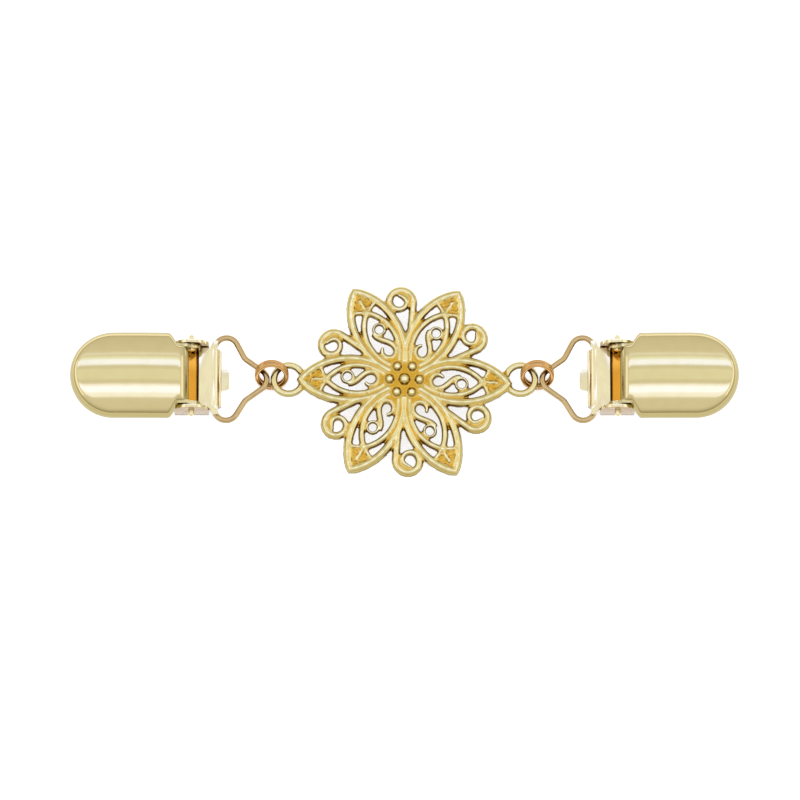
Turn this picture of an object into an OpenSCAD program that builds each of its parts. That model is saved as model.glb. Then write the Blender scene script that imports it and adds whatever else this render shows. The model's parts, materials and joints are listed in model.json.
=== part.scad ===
// Sweater clip: a pierced cast flower between two sprung lever clips.
// It lies on its back. +X runs along its length and +Z points out of its front.

/* [Flower] */
// Distance from the middle of the flower to a petal tip
flower_reach = 20.2; // [16:0.1:26]
// Half of the width of one petal at its widest
petal_half_width = 4.4; // [3.6:0.1:5]
// Width of the rim round each petal
rim_width = 1.35; // [1:0.05:1.6]
// Width of the ribs and scrolls inside the rims
rib_width = 1; // [0.7:0.05:1.15]
// Thickness of the cast ribs
rib_height = 1.3; // [1:0.05:1.8]
// Thickness of the sunk floors between the ribs
floor_height = 0.7; // [0.5:0.05:0.9]
// Rise of the flower from its tips to its middle
dome_rise = 1.4; // [0.6:0.1:2.4]
// How much taller than regular the flower is across the chain
flower_stretch = 1.015; // [0.97:0.005:1.04]
// Turn of the flower about its own middle
flower_turn = -1.2; // [-3:0.1:3]
// Radius of the boss under the beads
boss_radius = 5.1; // [4.4:0.1:5.4]
// Radius of the middle bead
middle_bead_radius = 1.05; // [0.8:0.05:1.2]
// Radius of the six beads round it
bead_radius = 0.85; // [0.5:0.05:1]
// Distance of the six beads from the middle
bead_circle = 2.9; // [2.4:0.1:3.2]
// Distance from the middle of the flower to the outside of a scroll
scroll_reach = 18.7; // [16:0.1:22]

/* [End rings] */
// Radius of an end ring to the middle of its wire
end_ring_radius = 2.85; // [2.4:0.05:3.4]
// Wire diameter of an end ring
end_ring_wire = 1.25; // [0.9:0.05:1.35]
// Length over which a petal tip lies on its end ring
tip_lap = 1.1; // [0.8:0.1:1.4]
// How far the end rings sit to one side of the petal tips
ring_side = 0.5; // [0:0.05:0.8]

/* [Jump rings] */
// Radius of a jump ring to the middle of its wire
jump_ring_radius = 2.87; // [2.7:0.05:3.4]
// Wire diameter of a jump ring
jump_ring_wire = 0.88; // [0.7:0.02:0.96]
// Slope of the jump rings from the ground
jump_ring_slope = 52; // [46:1:60]
// Gap between the two jump rings of a pair
jump_ring_gap = 0.05; // [0.03:0.01:0.1]
// Gap between an end ring and the tip of its wire loop
link_gap = 0.2; // [0.15:0.05:0.5]

/* [Wire loops] */
// Wire diameter of a wire loop
loop_wire = 1.15; // [0.9:0.05:1.2]
// Length of a wire loop from its bar to its tip
loop_length = 10.2; // [9.6:0.1:11]
// Half of the straight length of the bar
loop_bar_half = 5.95; // [5.8:0.05:6.3]
// Radius of the round shoulders
loop_shoulder_radius = 2.3; // [2:0.1:2.5]
// Radius of the hollow bends below the shoulders
loop_hollow_radius = 2.65; // [2.3:0.05:2.8]
// Radius of the tip of the loop
loop_tip_radius = 2.2; // [1.9:0.1:2.5]

/* [Clip body] */
// Thickness of the body sheet
body_sheet = 0.6; // [0.5:0.05:0.7]
// Half of the width of the base plate
base_half_width = 6; // [5.8:0.05:6.1]
// Distance from the loop's bar to the end of the base plate
base_length = 25; // [22:0.5:26]
// Inner radius of the fold round the bar
fold_inner_radius = 1.25; // [1.2:0.05:1.4]
// Half of the width of the fold
fold_half_width = 5.6; // [5:0.05:5.7]
// Half of the width of the front plate
front_half_width = 7.35; // [7.1:0.05:7.6]
// Length of the front plate
front_length = 3.7; // [3.2:0.1:3.8]
// Distance between the inner faces of the ears
ear_inner_width = 12.3; // [12.2:0.05:12.6]
// Radius of the round top of an ear
ear_radius = 3.3; // [2.9:0.05:3.4]
// How far each ear's round stands below its stud
ear_drop = 0.7; // [0.5:0.05:1]

/* [Hinge] */
// Distance from the loop's bar to the studs
stud_reach = 4.4; // [4.3:0.05:4.8]
// Height of the studs above the ground
stud_height = 5; // [4.9:0.05:5.5]
// Diameter of a hinge stud
stud_diameter = 1.2; // [1:0.05:1.4]
// Distance between the outer ends of the two studs
stud_span = 16.4; // [15.8:0.1:16.8]
// Running clearance round a stud in its ear
stud_clearance = 0.06; // [0.03:0.01:0.09]

/* [Jaw plate] */
// Thickness of the jaw sheet
jaw_sheet = 0.5; // [0.4:0.02:0.54]
// Half of the width of the jaw plate
jaw_half_width = 5.85; // [5.7:0.05:5.9]
// Half of the width of the tab at its root
tab_half_width = 2.15; // [1.8:0.05:2.3]
// How far the tab stands out of the fold
tab_length = 1.55; // [1.2:0.05:1.8]
// Gap between the jaw and the base at its tip
jaw_gap = 0.3; // [0.2:0.05:0.6]
// Gap between the cam and the jaw plate under it
cam_gap = 0.12; // [0.1:0.01:0.2]
// Number of teeth across the jaw
teeth = 7; // [5:1:9]

/* [Cover lever] */
// Thickness of the cover sheet
cover_sheet = 0.7; // [0.6:0.05:0.8]
// Half of the width of the cover
cover_half_width = 8.5; // [8:0.1:9.2]
// Distance from the loop's bar to the end of the cover
cover_reach = 28; // [26.5:0.1:30]
// Height of the crown of the cover
cover_top = 9.4; // [9.2:0.1:10.2]
// Height of the lower edge of the cover
cover_rim = 5.4; // [5.3:0.05:5.8]
// Radius of the arch across the cover
cover_arch = 18; // [14:1:30]
// Radius of the rolled side edges
cover_edge = 1.6; // [1.3:0.1:2]
// Half of the width of the neck
neck_half_width = 5.95; // [5.8:0.05:5.98]
// Distance from the studs to the start of the neck
neck_start = 0.5; // [0.45:0.05:0.9]
// Reach of the cam below the studs
cam_reach = 2.15; // [2.05:0.05:2.2]

/* [Hidden] */

gold = [0.87, 0.8, 0.55];
flower_gold = [0.88, 0.78, 0.42];
ring_gold = [0.78, 0.58, 0.32];
wire_gold = [0.85, 0.7, 0.42];

// Everything rests on the ground, and the jump rings set the height of the chain between the clips. They
// hang to one side of the end rings and a little towards the flower.
jump_stack = jump_ring_wire + jump_ring_gap;
jump_lift = 0.4;
jump_side = 0.85;
jump_lead = 0.3;
jump_half_height = jump_ring_radius * sin(jump_ring_slope) + jump_ring_wire / 2
  + jump_stack / 2 * cos(jump_ring_slope);
chain_z = jump_half_height - jump_lift;

// Places along the chain, from the middle outwards
end_ring_x = flower_reach + end_ring_radius + end_ring_wire / 2 - tip_lap;
link_x = end_ring_x + end_ring_radius + end_ring_wire / 2 + link_gap / 2;
loop_tip_x = link_x + (link_gap + loop_wire) / 2;
bar_lift = 0.25;
bar_z = body_sheet + fold_inner_radius + bar_lift;
loop_tilt = asin((chain_z - bar_z) / loop_length);
bar_x = loop_tip_x + loop_length * cos(loop_tilt);

// The clips lie a little to one side of the flower's middle line.
clip_side = 0.7;
loop_skew = ring_side - clip_side;

stud_x = bar_x + stud_reach;

// The bar lies off the middle of the fold, and the front plate starts ahead of the bar.
fold_share = 0.4;
fold_x = bar_x + fold_inner_radius * fold_share;
fold_z = body_sheet + fold_inner_radius;
fold_outer_radius = fold_inner_radius + body_sheet;
front_lead = 0.7;
front_x = bar_x - front_lead;
front_z = fold_z + fold_inner_radius;
ear_half = ear_inner_width / 2;
ear_inset = 0.25;

petals = 6;
fine = 64;

// Common forms

function cubic(p, t) =
  p[0] * pow(1 - t, 3) + 3 * p[1] * t * pow(1 - t, 2) + 3 * p[2] * pow(t, 2) * (1 - t) + p[3] * pow(t, 3);

function curve(p, steps) = [for (i = [0:steps]) cubic(p, i / steps)];

function turned(p, angle) = [
  p[0] * cos(angle) - p[1] * sin(angle),
  p[0] * sin(angle) + p[1] * cos(angle)
];

// Unit vector at right angles to the path at point i
function side_of(path, i) =
  let (a = path[max(i - 1, 0)], b = path[min(i + 1, len(path) - 1)], d = b - a)
  [-d[1], d[0]] / norm(d);

// Both faces of a thin sheet that follows a path
function sheet_outline(path, thickness) = concat(
  [for (i = [0:len(path) - 1]) path[i] + side_of(path, i) * thickness / 2],
  [for (i = [len(path) - 1:-1:0]) path[i] - side_of(path, i) * thickness / 2]
);

// Closed solid through rings of points, each ring clockwise as seen along the path
module skin(rings) {
  sides = len(rings[0]);
  walls = [
    for (i = [0:len(rings) - 2], k = [0:sides - 1])
      let (n = (k + 1) % sides)
      [i * sides + k, (i + 1) * sides + k, (i + 1) * sides + n, i * sides + n]
  ];
  first = [for (k = [0:sides - 1]) k];
  last = [for (k = [sides - 1:-1:0]) (len(rings) - 1) * sides + k];
  polyhedron([for (ring = rings, p = ring) p], concat([first], walls, [last]), convexity = 6);
}

// Extrudes a shape drawn in X and Z along Y, evenly to both sides
module across(half_width) {
  rotate([90, 0, 0]) linear_extrude(2 * half_width, center = true) children();
}

// Places a clip piece on the left or on the right side
module on_side(left) {
  mirror([left ? 1 : 0, 0, 0]) translate([0, clip_side, 0]) children();
}

// Flower

// Height of the back of the flower above the ground at a point
function dome(p) = chain_z + dome_rise * (1 - pow(min(norm(p) / flower_reach, 1), 2));

// Cast rib of one kind with a bevelled top that follows a path in plan. Its back lies a little above the
// dome, and the lift of the back grows by twice the slant from one end to the other.
module rib(path, kind, width = rib_width, slant = 0) {
  section = [[-0.5, 0], [0.5, 0], [0.42, 0.6], [0, 1], [-0.42, 0.6]];
  height = kind[1] * rib_height;
  skin([for (i = [0:len(path) - 1]) [
    for (s = section)
      let (
        p = path[i] + side_of(path, i) * s[0] * kind[0] * width,
        back = kind[2] + slant * (2 * i / (len(path) - 1) - 1)
      )
      [p[0], p[1], dome(path[i]) + back + s[1] * (height - back)]
  ]]);
}

// Lift of a sunk floor's back above the dome, and radius of its corners
web_lift = 0.17;
web_corner = 0.3;

// Sunk floor that fills the hull of a few points in plan
module web(points) {
  hull() for (p = points)
    translate([p[0], p[1], dome(p) + web_lift])
      cylinder(r = web_corner, h = floor_height - web_lift, $fn = 6);
}

// Point of a petal from shares of its length and half width
function petal_point(along, aside) = [along * flower_reach, aside * petal_half_width];

function petal_curve(shares, side) = [for (s = shares) petal_point(s[0], s[1] * side)];

// Both halves of a leaf outline in one path, from its root over its tip to its root
function leaf(shares, steps) =
  let (half = curve(petal_curve(shares, 1), steps))
  concat([for (i = [steps:-1:1]) [half[i][0], -half[i][1]]], half);

// Shares of the petal's length and half width
rim_shares = [[1, 0], [0.817, 1.045], [0.421, 1.273], [0.144, 0.386]];
lens_shares = [[0.757, 0], [0.624, 0.705], [0.396, 0.886], [0.193, 0.227]];
scroll_shares = [[0.54, 0.17], [0.455, 0.227], [0.416, -0.352], [0.317, -0.352]];
bar_share = [0.822, 0.62];
stem_share = 0.9;
web_share = [0.815, 0.57];
web_reach = 0.94;
web_start = 0.2;
eye_share = [0.55, -0.114];
hook_share = [0.317, -0.034];
eye_radius = 0.25 * petal_half_width;
hook_radius = 0.318 * petal_half_width;
side_webs = [
  [[0.47, -0.93], [0.38, -0.9], [0.42, -0.65]],
  [[0.36, 0.92], [0.24, 0.62], [0.3, 0.5]]
];

// Section of the eye ring: shares of the rib's height and half width
eye_section = [[-1, 0], [1, 0], [0.55, 0.85], [-0.55, 0.85]];
eye_half_width = 0.36;

// Each kind of rib as shares of the rib's width and height, and the lift of its back. The lifts differ, so
// that no two backs lie in one plane.
rim_rib = [1, 1, 0.02];
lens_rib = [1, 0.92, 0.065];
bar_rib = [0.8, 0.85, 0.11];
stem_rib = [0.8, 0.88, 0.14];
scroll_rib = [1, 0.9, 0.1];
outer_rib = [1.3, 0.95, 0.04];
curl_rib = [1, 0.9, 0.07];
eye_lift = 0.03;
leaf_slant = 0.015;

function petal_hook(steps) = [
  for (i = [0:steps])
    petal_point(hook_share[0], hook_share[1]) + turned([hook_radius, 0], 265 - 235 * i / steps)
];

function spun(path, angle) = [for (p = path) turned(p, angle)];

module petal(angle) {
  tip = petal_point(lens_shares[0][0], 0);
  eye = turned(petal_point(eye_share[0], eye_share[1]), angle);
  corners = [for (side = [-1, 1]) petal_point(bar_share[0], bar_share[1] * side)];
  web_corners = [for (side = [-1, 1]) petal_point(web_share[0], web_share[1] * side)];
  rib(spun(leaf(rim_shares, 8), angle), rim_rib, rim_width, leaf_slant);
  rib(spun(leaf(lens_shares, 6), angle), lens_rib, slant = leaf_slant);
  rib(spun([corners[0], tip, corners[1]], angle), bar_rib);
  web(spun([tip + [web_start, 0], web_corners[0], petal_point(web_reach, 0), web_corners[1]], angle));
  rib(spun([tip, petal_point(stem_share, 0)], angle), stem_rib);
  rib(spun(concat(curve(petal_curve(scroll_shares, 1), 6), petal_hook(6)), angle), scroll_rib);
  translate([eye[0], eye[1], dome(eye) + eye_lift]) rotate_extrude($fn = 10)
    translate([eye_radius, 0]) polygon([for (s = eye_section) [s[0] * eye_half_width, s[1] * rib_height]]);
  for (w = side_webs) web([for (s = w) turned(petal_point(s[0], s[1]), angle)]);
}

// Scroll between two petals: the outer turn of its spiral, the inner turn and the floor between them, as
// angles on the spiral and shares of its radius
outer_turn = [
  [-90, 1], [-54, 0.95], [-18, 0.89], [18, 0.85], [54, 0.82], [90, 0.79], [126, 0.73], [162, 0.65],
  [198, 0.58]
];
inner_turn = [[170, 0.63], [207, 0.57], [244, 0.53], [280, 0.47], [314, 0.39], [345, 0.37], [378, 0.46]];
turn_floor = [[-84, 0.7], [-40, 0.62], [0, 0.55], [24, 0.5]];
spiral_radius = 0.139 * scroll_reach;
spiral_middle = [0.838 * scroll_reach, 0.064 * scroll_reach];
stem_shares_outer = [[0.52, -0.055], [0.61, -0.062], [0.715, -0.07]];

function on_spiral(turns) = [for (t = turns) spiral_middle + turned([spiral_radius * t[1], 0], t[0])];

module outer_scroll(angle) {
  stem = [for (s = stem_shares_outer) s * scroll_reach];
  rib(spun(concat(stem, on_spiral(outer_turn)), angle), outer_rib);
  rib(spun(on_spiral(inner_turn), angle), curl_rib);
  web(spun(on_spiral(turn_floor), angle));
}

module bead(radius, p, z) {
  translate([p[0], p[1], z]) sphere(r = radius, $fn = 8);
}

// The boss reaches a little below the ribs' backs and is turned so that none of its corners meets a rib's.
boss_drop = 0.12;
boss_turn = 4;
boss_taper = 0.9;
boss_share = 0.72;
bead_rise = 0.05;
middle_bead_rise = 0.2;

module flower() {
  boss_z = dome([0, 0]);
  boss_height = boss_share * rib_height;
  bead_z = boss_z + boss_height;
  color(flower_gold) {
    scale([1, flower_stretch, 1]) rotate([0, 0, flower_turn]) {
      for (k = [0:petals - 1]) {
        petal(k * 360 / petals);
        outer_scroll((k + 0.5) * 360 / petals);
        bead(bead_radius, turned([bead_circle, 0], k * 360 / petals), bead_z + bead_rise);
      }
      translate([0, 0, boss_z - boss_drop]) rotate([0, 0, boss_turn])
        cylinder(r1 = boss_radius, r2 = boss_radius * boss_taper, h = boss_height + boss_drop, $fn = 24);
      bead(middle_bead_radius, [0, 0], bead_z + middle_bead_rise);
    }
    for (side = [-1, 1])
      translate([side * end_ring_x, ring_side, chain_z]) rotate_extrude($fn = 24)
        translate([end_ring_radius, 0]) rotate(30) circle(d = end_ring_wire, $fn = 6);
  }
}

// Chain

// One of the two jump rings of a pair: place is -1 for the lower one and 1 for the upper one
module jump_ring(left, place) {
  color(ring_gold)
    mirror([left ? 1 : 0, 0, 0])
      translate([link_x - jump_lead, ring_side + jump_side, jump_half_height])
        rotate([jump_ring_slope, 0, 0])
          translate([0, 0, place * jump_stack / 2])
            rotate_extrude($fn = fine) translate([jump_ring_radius, 0]) circle(d = jump_ring_wire, $fn = 32);
}

function direction(v) = atan2(v[1], v[0]);

function arc(centre, radius, start, sweep, steps) = [
  for (i = [0:steps]) centre + turned([radius, 0], start + sweep * i / steps)
];

// Middle of a hollow bend: share of the loop's length, and how far it stands outside the bar's end
hollow_share = 0.78;
hollow_out = 0.05;

// The bent wire starts this far inside the bar and is a hair thinner, so that it ends within the bar.
wire_lap = 0.5;
wire_share = 0.985;
wire_sides = 14;

// Half of the loop in its own plane, from the bar at x = 0 to the tip at x = -loop_length
function loop_half(skew) =
  let (
    shoulder = [-loop_shoulder_radius, loop_bar_half],
    hollow = [-hollow_share * loop_length, loop_bar_half + hollow_out + skew],
    tip = [-loop_length + loop_tip_radius, skew],
    arm = hollow - shoulder,
    neck = tip - hollow,
    arm_heading = (direction(arm) + 360) % 360
      + asin((loop_shoulder_radius + loop_hollow_radius) / norm(arm)),
    neck_heading = (direction(neck) + 360) % 360
      - asin((loop_hollow_radius + loop_tip_radius) / norm(neck))
  )
  concat(
    [[0, loop_bar_half - wire_lap]],
    arc(shoulder, loop_shoulder_radius, 0, arm_heading - 90, 8),
    arc(hollow, loop_hollow_radius, arm_heading + 90, neck_heading - arm_heading, 6),
    arc(tip, loop_tip_radius, neck_heading - 90, 270 - neck_heading, 6)
  );

module wire_loop(left) {
  upper = loop_half(loop_skew);
  lower = loop_half(-loop_skew);
  path = concat(upper, [for (i = [len(lower) - 2:-1:0]) [lower[i][0], -lower[i][1]]]);
  radius = wire_share * loop_wire / 2;
  color(wire_gold) on_side(left)
    translate([bar_x, 0, bar_z]) rotate([0, loop_tilt, 0]) {
      rotate([90, 0, 0]) cylinder(d = loop_wire, h = 2 * loop_bar_half, center = true, $fn = fine);
      skin([for (i = [0:len(path) - 1]) [
        for (k = [0:wire_sides - 1])
          let (a = 360 * k / wire_sides, p = path[i] + side_of(path, i) * radius * cos(a))
          [p[0], p[1], radius * sin(a)]
      ]]);
    }
}

// Clip body

module rounded_end(x0, x1, half_width) {
  translate([x0, -half_width]) square([x1 - x0 - half_width, 2 * half_width]);
  translate([x1 - half_width, 0]) circle(r = half_width, $fn = fine);
}

// The fold is a strip narrower than the plates: how far it runs on along the base and the front plate
base_lap = 2;
front_lap = 1.2;

// Section of the fold along the clip
module fold_section() {
  difference() {
    translate([fold_x, fold_z]) circle(r = fold_outer_radius, $fn = fine);
    translate([fold_x, fold_z]) circle(r = fold_inner_radius, $fn = fine);
    translate([fold_x, fold_z - 2 * fold_outer_radius])
      square([2 * fold_outer_radius, 4 * fold_outer_radius]);
  }
  translate([fold_x, 0]) square([base_lap, body_sheet]);
  translate([fold_x, front_z]) square([front_lap, body_sheet]);
}

// Front plate: two lobes at the bend and a tongue that passes between the ears
front_relief = 0.2;

module front_outline() {
  notch_depth = front_half_width - ear_half + ear_inset;
  notch_x = stud_x - ear_radius + notch_depth / 2;
  difference() {
    translate([front_x, -front_half_width]) square([front_length, 2 * front_half_width]);
    translate([front_x - 1, -fold_half_width])
      square([fold_x - front_x + 1 + front_relief, 2 * fold_half_width]);
    for (side = [-1, 1]) translate([notch_x, side * front_half_width]) {
      translate([0, -notch_depth]) square([2 * front_length, 2 * notch_depth]);
      circle(r = notch_depth, $fn = fine);
    }
  }
}

module ear_outline() {
  translate([stud_x, stud_height - ear_drop]) circle(r = ear_radius, $fn = fine);
  translate([stud_x - ear_radius, 0]) square([2 * ear_radius, stud_height - ear_drop]);
}

// Where the base plate starts past the fold, and the slot in the fold for the jaw's tab
base_start = 0.8;
slot_side = 0.25;
slot_share = 0.75;

module clip_body(left) {
  color(gold) on_side(left) difference() {
    union() {
      across(fold_half_width) fold_section();
      linear_extrude(body_sheet) rounded_end(fold_x + base_start, bar_x + base_length, base_half_width);
      linear_extrude(body_sheet) translate([stud_x - ear_radius, -ear_half - body_sheet])
        square([2 * ear_radius, 2 * (ear_half + body_sheet)]);
      translate([0, 0, front_z]) linear_extrude(body_sheet) front_outline();
      for (side = [-1, 1])
        translate([0, side * (ear_half + body_sheet / 2), 0]) across(body_sheet / 2) ear_outline();
    }
    translate([stud_x, 0, stud_height]) rotate([90, 0, 0])
      cylinder(d = stud_diameter + 2 * stud_clearance, h = 2 * stud_span, center = true, $fn = fine);
    translate([fold_x - 2 * fold_outer_radius, -tab_half_width - slot_side, body_sheet])
      cube([2 * fold_outer_radius, 2 * (tab_half_width + slot_side), fold_inner_radius * slot_share]);
  }
}

// Jaw plate

tail_gap = 0.1;
tail_z = body_sheet + tail_gap + jaw_sheet / 2;
cam_z = stud_height - cam_reach - cam_gap - jaw_sheet / 2;
jaw_end_x = bar_x + base_length - 1;
jaw_tip_z = body_sheet + jaw_gap;

// The lip bent down at the jaw's end, and the notches between its teeth
lip_height = 1.5;
lip_back = 1.4;
lip_lap = 0.2;
notch_height = 0.7;
tooth_land = 0.01;

// The tail lies flat as far as the fold, and the flat under the cam runs to both sides of the studs.
tail_run = 0.6;
cam_flat = [-1, 3];
root_start = 0.1;
tab_chamfer = 0.5;
tab_end_share = 0.7;
tab_end_x = fold_x - fold_outer_radius - tab_length;

// Middle line of the jaw sheet along the clip
function jaw_path() = [
  [tab_end_x, tail_z],
  [fold_x + tail_run, tail_z],
  [stud_x + cam_flat[0], cam_z],
  [stud_x + cam_flat[1], cam_z],
  [jaw_end_x - lip_back + lip_lap, jaw_tip_z + lip_height - lip_lap]
];

module jaw_plate(left) {
  root_x = fold_x + root_start;
  pitch = 2 * jaw_half_width / teeth;
  color(gold) on_side(left) intersection() {
    union() {
      across(jaw_half_width) polygon(sheet_outline(jaw_path(), jaw_sheet));
      difference() {
        translate([jaw_end_x - lip_back, -jaw_half_width, jaw_tip_z])
          cube([jaw_sheet, 2 * jaw_half_width, lip_height]);
        for (i = [0:teeth])
          translate([jaw_end_x, -jaw_half_width + i * pitch, jaw_tip_z]) rotate([0, -90, 0])
            linear_extrude(2 * lip_back)
              polygon([[-tooth_land, -pitch / 2], [-tooth_land, pitch / 2], [notch_height, 0]]);
      }
    }
    linear_extrude(stud_height) union() {
      polygon([
        [tab_end_x, -tab_half_width * tab_end_share], [tab_end_x + tab_chamfer, -tab_half_width],
        [root_x, -tab_half_width], [root_x, tab_half_width],
        [tab_end_x + tab_chamfer, tab_half_width], [tab_end_x, tab_half_width * tab_end_share]
      ]);
      translate([root_x, -jaw_half_width]) square([jaw_end_x - root_x, 2 * jaw_half_width]);
    }
  }
}

// Cover lever

cover_end_x = bar_x + cover_reach;
neck_x = stud_x + neck_start;
cover_long_arch = 100;
cover_end_edge = 2.2;
shoulder_x = stud_x + 2.4;
side_x = stud_x + 4.4;

// The arches are this much wider than the plan, so that their walls don't lie in one plane with it. The
// rolled edges lie a little inside the arch and lap over the walls under them, so that nothing meets in a
// sliver.
arch_extra = 0.05;
edge_step = 0.02;
edge_lap = 0.1;

// Lever ears: outside of the hinge eye, height of the root under the crown, width of the cam and of the ear
eye_outer_radius = 1.7;
ear_root_z = cover_top - 2;
cam_width = 1.5;
ear_end = 3.2;

// Its front edge stands this far before the studs and past the neck's start, and it laps onto the rim.
ear_lead = 0.9;
ear_start = 0.2;
rim_lap = 0.1;
heel_drop = 0.8;
heel_step = 0.1;
stud_press = 0.02;

// Round-topped section about a middle: arch radius, edge radius and half width
module arch(middle, top, arch_radius, edge, half_width, bottom) {
  arch_z = top - arch_radius;
  edge_y = half_width - edge;
  edge_z = arch_z + sqrt(pow(arch_radius - edge, 2) - pow(edge_y, 2));
  touch = edge_y * arch_radius / (arch_radius - edge);
  translate([middle, 0]) {
    intersection() {
      translate([0, arch_z]) circle(r = arch_radius, $fn = 4 * fine);
      translate([-touch - edge_step, edge_z]) square([2 * (touch + edge_step), top - edge_z + 1]);
    }
    for (side = [-1, 1])
      intersection() {
        translate([side * edge_y, edge_z]) circle(r = edge - edge_step, $fn = fine);
        translate([side > 0 ? touch : -half_width - 1, edge_z]) square([half_width - touch + 1, edge + 1]);
      }
    translate([-half_width, bottom]) square([2 * half_width, edge_z - bottom + edge_lap]);
  }
}

// Plan of the cover: a round end, straight sides, sloping shoulders and a neck
module cover_plan(inset) {
  half = cover_half_width - inset;
  neck = neck_half_width - inset;
  translate([cover_end_x - cover_half_width, 0]) circle(r = half, $fn = 2 * fine);
  translate([side_x + inset, -half]) square([cover_end_x - cover_half_width - side_x - inset, 2 * half]);
  polygon([
    [neck_x + inset, -neck], [shoulder_x + inset, -neck], [side_x + inset, -half],
    [side_x + inset, half], [shoulder_x + inset, neck], [neck_x + inset, neck]
  ]);
}

// Solid form of the cover, made smaller all round by the inset: its plan, cut by an arch in each direction
module cover_form(inset, bottom) {
  top = cover_top - inset;
  half = cover_half_width - inset + arch_extra;
  middle_x = (neck_x + cover_end_x) / 2;
  half_length = (cover_end_x - neck_x) / 2 - inset + arch_extra;
  intersection() {
    translate([0, 0, bottom]) linear_extrude(cover_top + 1 - bottom) cover_plan(inset);
    rotate([90, 0, 90]) translate([0, 0, neck_x - 1]) linear_extrude(cover_end_x - neck_x + 2)
      arch(0, top, cover_arch - inset, cover_edge - inset, half, bottom - 1);
    across(cover_half_width + 1)
      arch(middle_x, top, cover_long_arch - inset, cover_end_edge - inset, half_length, bottom - 1);
  }
}

// Side wall of the neck with its hinge eye and its cam
module lever_ear() {
  translate([stud_x, stud_height]) circle(r = eye_outer_radius, $fn = fine);
  polygon([
    [stud_x - ear_lead, stud_height], [neck_x + ear_start, ear_root_z], [stud_x + ear_end, ear_root_z],
    [stud_x + ear_end, cover_rim + rim_lap], [stud_x + cam_width + heel_step, stud_height - heel_drop],
    [stud_x + cam_width, stud_height - cam_reach], [stud_x, stud_height - cam_reach]
  ]);
}

// Room round each body ear, and the open inside of the neck between the lever ears
ear_room = 0.15;
neck_step = 0.05;
room_depth = 4;
neck_opening = 2.4;

module cover_lever(left) {
  color(gold) on_side(left) difference() {
    union() {
      difference() {
        cover_form(0, cover_rim);
        cover_form(cover_sheet, cover_rim - 1);
      }
      for (side = [-1, 1])
        translate([0, side * (neck_half_width - cover_sheet / 2), 0]) across(cover_sheet / 2) lever_ear();
    }
    for (side = [-1, 1])
      translate([stud_x, side * (neck_half_width + neck_step + room_depth / 2), stud_height])
        rotate([90, 0, 0])
          cylinder(r = ear_radius + ear_room, h = room_depth, center = true, $fn = 2 * fine);
    translate([stud_x, 0, stud_height]) rotate([90, 0, 0])
      cylinder(d = stud_diameter + 2 * stud_press, h = 2 * stud_span, center = true, $fn = fine);
    translate([neck_x - 1, cover_sheet - neck_half_width, cover_rim - 1])
      cube([neck_opening, 2 * (neck_half_width - cover_sheet), ear_root_z - cover_rim + 1]);
  }
}

stud_proud = 0.25;

module hinge_stud(left, side) {
  stud_inner = neck_half_width - cover_sheet - stud_proud;
  color(gold) on_side(left) translate([stud_x, 0, stud_height]) rotate([side * -90, 0, 0]) {
    translate([0, 0, stud_inner])
      cylinder(d = stud_diameter, h = stud_span / 2 - stud_diameter / 2 - stud_inner, $fn = fine);
    translate([0, 0, stud_span / 2 - stud_diameter / 2]) sphere(d = stud_diameter, $fn = 32);
  }
}

flower();
jump_ring(true, 1);  // left_jump_ring_upper
jump_ring(true, -1);  // left_jump_ring_lower
jump_ring(false, 1);  // right_jump_ring_upper
jump_ring(false, -1);  // right_jump_ring_lower
wire_loop(true);  // left_wire_loop
wire_loop(false);  // right_wire_loop
clip_body(true);  // left_clip_body
clip_body(false);  // right_clip_body
jaw_plate(true);  // left_jaw_plate
jaw_plate(false);  // right_jaw_plate
cover_lever(true);  // left_cover_lever
cover_lever(false);  // right_cover_lever
hinge_stud(true, 1);  // left_stud_back
hinge_stud(true, -1);  // left_stud_front
hinge_stud(false, 1);  // right_stud_back
hinge_stud(false, -1);  // right_stud_front
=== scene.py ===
import json
import math

import bmesh
import bpy
import numpy as np
from mathutils import Matrix, Vector, noise
from mathutils.bvhtree import BVHTree


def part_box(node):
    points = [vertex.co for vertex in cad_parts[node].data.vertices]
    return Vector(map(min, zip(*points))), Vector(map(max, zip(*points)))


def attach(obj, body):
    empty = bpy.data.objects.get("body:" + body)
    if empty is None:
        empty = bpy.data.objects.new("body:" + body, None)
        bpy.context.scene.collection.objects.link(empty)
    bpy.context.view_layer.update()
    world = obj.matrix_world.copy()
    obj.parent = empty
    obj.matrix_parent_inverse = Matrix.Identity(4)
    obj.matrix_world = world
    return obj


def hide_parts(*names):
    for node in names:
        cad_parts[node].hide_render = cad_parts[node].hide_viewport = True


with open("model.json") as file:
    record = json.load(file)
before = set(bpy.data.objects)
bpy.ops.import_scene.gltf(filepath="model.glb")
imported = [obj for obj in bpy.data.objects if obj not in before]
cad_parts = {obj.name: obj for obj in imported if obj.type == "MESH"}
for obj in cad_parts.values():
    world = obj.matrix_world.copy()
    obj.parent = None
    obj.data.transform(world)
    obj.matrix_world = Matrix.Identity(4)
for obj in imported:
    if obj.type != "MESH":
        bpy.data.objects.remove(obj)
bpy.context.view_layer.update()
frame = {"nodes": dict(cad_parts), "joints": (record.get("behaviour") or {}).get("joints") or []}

# The flower
# The real one is a gold-plated zinc casting, pierced right through, with a wire ring soldered behind its
# tip at each side. Its ribs follow curves drawn once for one petal. They are swept, turned round six times
# and melted together, which rounds every inner corner as the casting does.

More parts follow.
